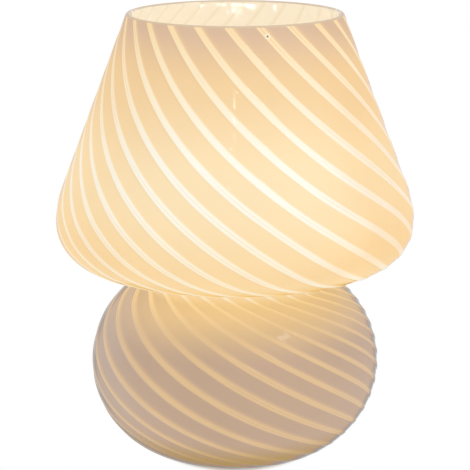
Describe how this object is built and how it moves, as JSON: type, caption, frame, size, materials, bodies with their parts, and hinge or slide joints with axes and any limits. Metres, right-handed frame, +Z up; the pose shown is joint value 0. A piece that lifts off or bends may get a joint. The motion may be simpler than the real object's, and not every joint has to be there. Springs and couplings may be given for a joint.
{
  "type": "table lamp",
  "caption": "Mushroom-shaped table lamp blown in one piece of swirl-striped opal glass, open at the top, with a lift-out lampholder and a screw-in globe bulb.",
  "frame": {"origin": "on the table, under the middle of the foot", "axes": "+Z up along the lamp's axis; -Y towards the viewer of the picture; the cord's hole is at +Y"},
  "size_m": [0.1916, 0.1916, 0.24],
  "materials": {
    "opal_glass": "gloss opal glass, amber cream with lighter swirl stripes, lit from inside",
    "bush_rubber": "soft satin, pale",
    "pad_rubber": "clear satin",
    "seal_rubber": "translucent silicone",
    "white_steel": "white stove enamel, satin",
    "zinc_steel": "bright zinc plating",
    "holder_plastic": "moulded white, smooth",
    "core_ceramic": "unglazed, fine",
    "contact_brass": "plain brass",
    "shell_aluminium": "pressed, bright",
    "tip_metal": "bright solder",
    "black_insulator": "black, smooth",
    "bulb_plastic": "white housing, satin",
    "bulb_opal": "opal globe, lit",
    "light_board": "white board with its chips",
    "driver_board": "green card"
  },
  "bodies": {
    "glass": {"glass_body": "opal_glass", "cord_bush": "bush_rubber", "foot_pads": "pad_rubber"},
    "holder": {"plate_seal": "seal_rubber", "carrier_plate": "white_steel", "threaded_tube": "zinc_steel", "tube_nut": "zinc_steel", "toothed_washer": "zinc_steel", "holder_cap": "holder_plastic", "grub_screw": "zinc_steel", "holder_core": "core_ceramic", "terminal_screws": "contact_brass", "screw_shell": "shell_aluminium", "holder_skirt": "holder_plastic", "centre_contact": "contact_brass"},
    "bulb_end": {"bulb_tip": "tip_metal", "bulb_insulator": "black_insulator"},
    "bulb": {"bulb_cap": "shell_aluminium", "bulb_collar": "bulb_plastic", "bulb_globe": "bulb_opal", "bulb_led_board": "light_board", "bulb_driver": "driver_board"}
  },
  "joints": [
    {"name": "holder_lift", "type": "slide", "parent": "glass", "child": "holder", "axis": [0, 0, 1], "range_m": [0, 0.15]},
    {"name": "bulb_travel", "type": "slide", "parent": "holder", "child": "bulb_end", "axis": [0, 0, 1], "range_m": [0, 0.01411]},
    {"name": "bulb_turn", "type": "hinge", "parent": "bulb_end", "child": "bulb", "pos_m": [0, 0, 0.13], "axis": [0, 0, 1], "range_deg": [0, 1800]}
  ],
  "couplings": [
    {"joint": "bulb_travel", "follows": "bulb_turn", "m_per_rad": 0.00044882}
  ]
}
